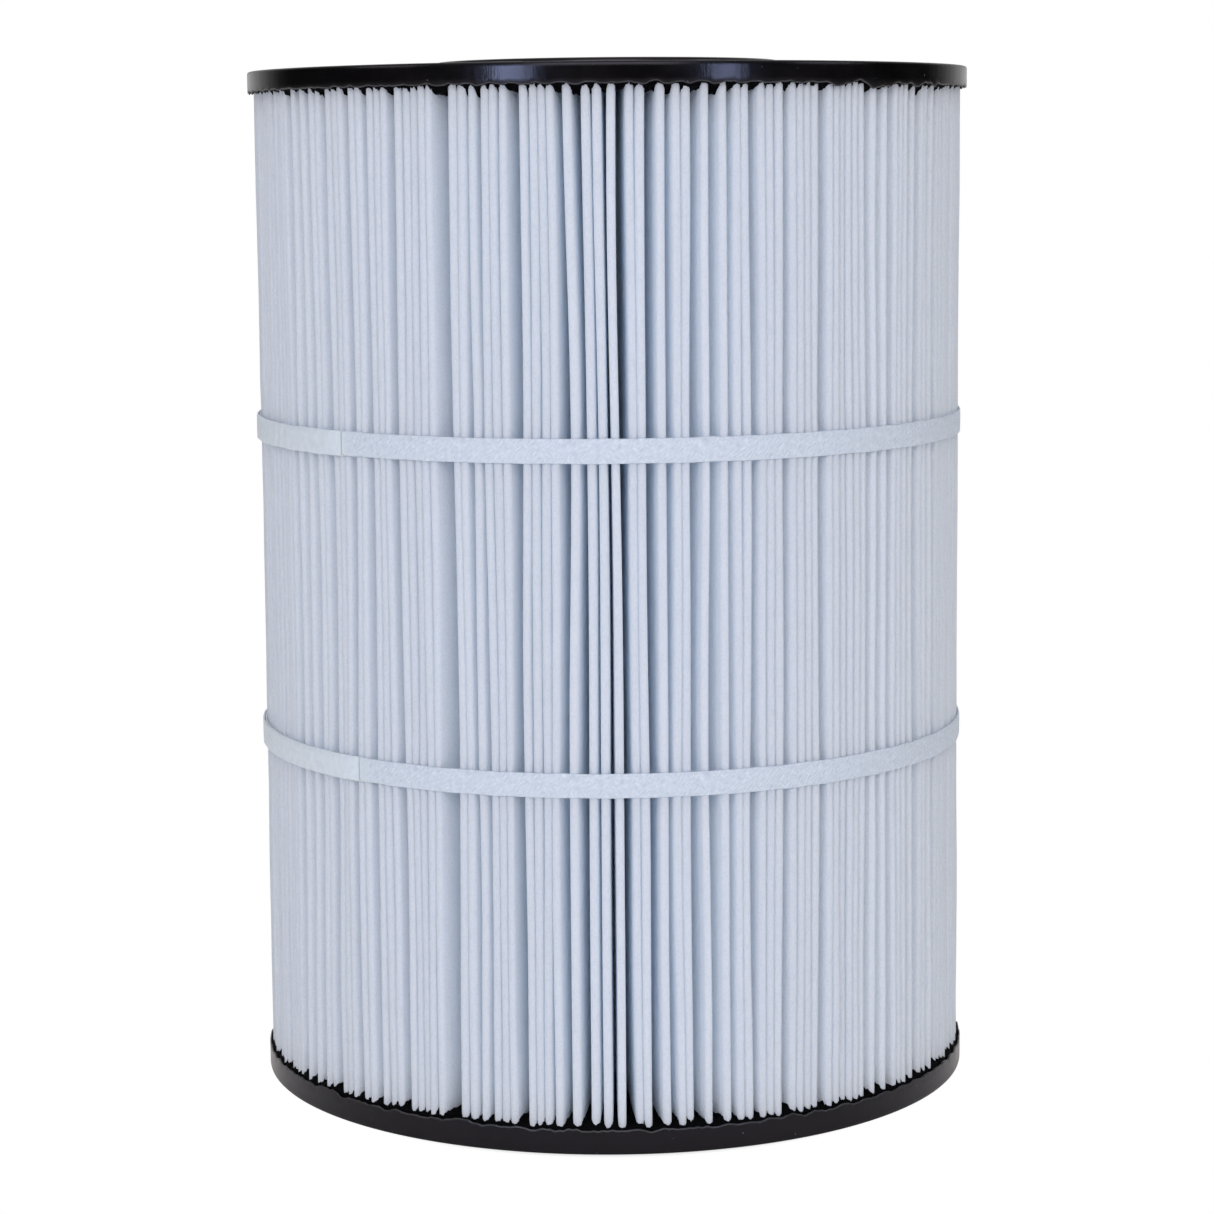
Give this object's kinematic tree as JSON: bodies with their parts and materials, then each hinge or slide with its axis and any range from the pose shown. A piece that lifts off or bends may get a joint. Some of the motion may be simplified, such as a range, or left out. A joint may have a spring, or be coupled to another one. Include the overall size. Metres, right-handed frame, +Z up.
{
  "type": "filter cartridge",
  "caption": "Upright pleated pool filter cartridge with black moulded end caps, a windowed core and two holding straps.",
  "frame": {"origin": "on the cartridge's axis, on the plane of the bottom cap's collar, where the cartridge stands", "axes": "+Z up along the cartridge's axis; the straps' lapped ends lie towards -X and -Y"},
  "size_m": [0.2556, 0.2556, 0.366],
  "materials": {
    "end_cap": "satin cast polyurethane",
    "media": "spunbonded polyester, matte",
    "core": "moulded, matte",
    "strap": "fibrous polyester strap, slightly translucent",
    "glue": "hot-melt glue, glossy"
  },
  "bodies": {
    "root": {"bottom_end_cap": "end_cap", "top_end_cap": "end_cap", "pleated_media": "media", "media_seam_bead": "glue", "core_lower_section": "core", "core_middle_section": "core", "core_upper_section": "core", "upper_strap": "strap", "lower_strap": "strap", "upper_strap_glue": "glue", "lower_strap_glue": "glue"}
  },
  "joints": []
}
